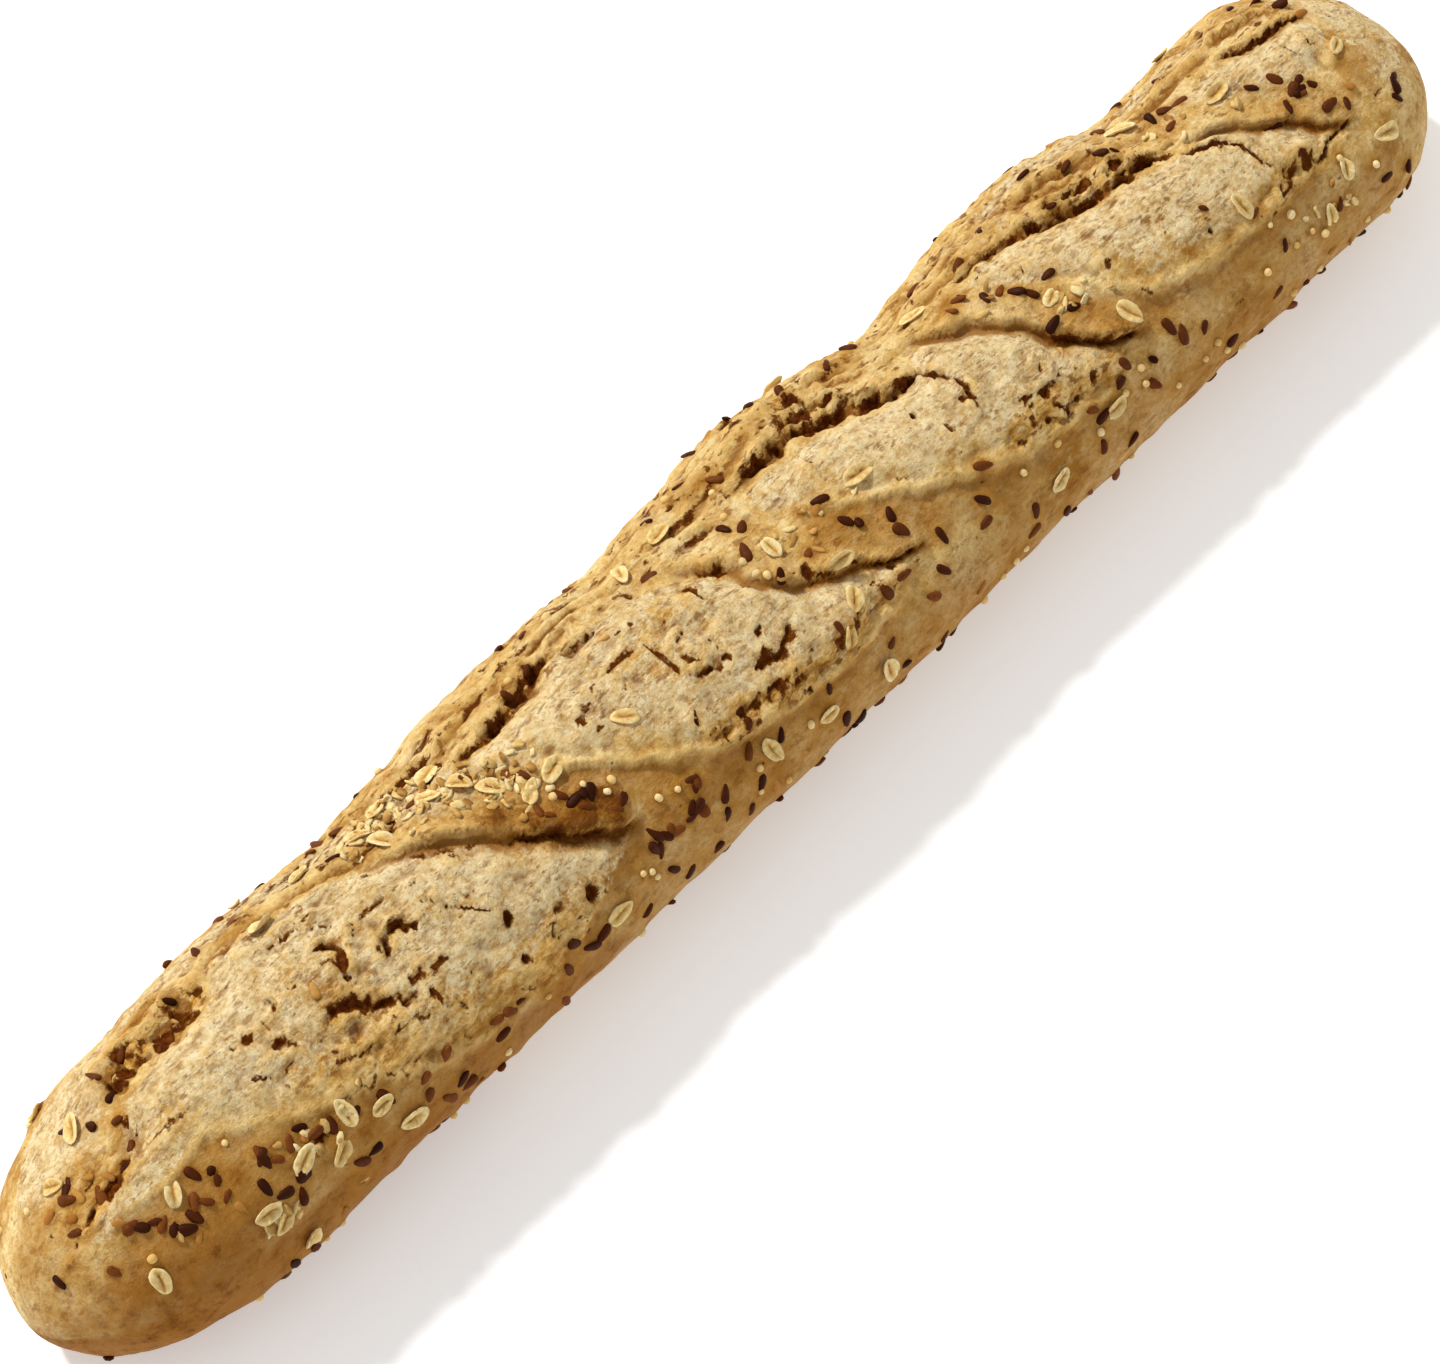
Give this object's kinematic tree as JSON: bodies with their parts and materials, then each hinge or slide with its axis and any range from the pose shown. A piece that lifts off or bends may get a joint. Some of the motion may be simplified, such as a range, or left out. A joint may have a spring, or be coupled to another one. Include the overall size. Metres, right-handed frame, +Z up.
{
  "type": "seeded baguette",
  "caption": "Long slashed bread loaf with a floury, torn crumb in its slanting openings, oat flakes on its crust and a flat underside to rest on.",
  "frame": {"origin": "middle of the underside of the whole object's box, on the surface that the loaf rests on", "axes": "+X along the loaf towards its blunter end, +Z up through the slashed crown, +Y towards the side where the crust lifted into flaps"},
  "size_m": [0.48, 0.0782, 0.0544],
  "materials": {
    "crust": "baked bread crust, matte to faintly satin, golden brown with floury pale crumb in the openings",
    "oat": "toasted rolled oat flake, matte"
  },
  "bodies": {
    "root": {"loaf": "crust", "oat_flake_01": "oat", "oat_flake_02": "oat", "oat_flake_03": "oat", "oat_flake_04": "oat", "oat_flake_05": "oat", "oat_flake_06": "oat", "oat_flake_07": "oat", "oat_flake_08": "oat", "oat_flake_09": "oat", "oat_flake_10": "oat", "oat_flake_11": "oat", "oat_flake_12": "oat", "oat_flake_13": "oat", "oat_flake_14": "oat", "oat_flake_15": "oat", "oat_flake_16": "oat", "oat_flake_17": "oat", "oat_flake_18": "oat", "oat_flake_19": "oat", "oat_flake_20": "oat", "oat_flake_21": "oat", "oat_flake_22": "oat", "oat_flake_23": "oat", "oat_flake_24": "oat", "oat_flake_25": "oat", "oat_flake_26": "oat", "oat_flake_27": "oat", "oat_flake_28": "oat", "oat_flake_29": "oat", "oat_flake_30": "oat", "oat_flake_31": "oat", "oat_flake_32": "oat", "oat_flake_33": "oat", "oat_flake_34": "oat", "oat_flake_35": "oat", "oat_flake_36": "oat", "oat_flake_37": "oat", "oat_flake_38": "oat", "oat_flake_39": "oat", "oat_flake_40": "oat", "oat_flake_41": "oat", "oat_flake_42": "oat", "oat_flake_43": "oat", "oat_flake_44": "oat", "oat_flake_45": "oat", "oat_flake_46": "oat", "oat_flake_47": "oat", "oat_flake_48": "oat", "oat_flake_49": "oat", "oat_flake_50": "oat", "oat_flake_51": "oat", "oat_flake_52": "oat", "oat_flake_53": "oat", "oat_flake_54": "oat", "oat_flake_55": "oat", "oat_flake_56": "oat", "oat_flake_57": "oat", "oat_flake_58": "oat", "oat_flake_59": "oat"}
  },
  "joints": []
}
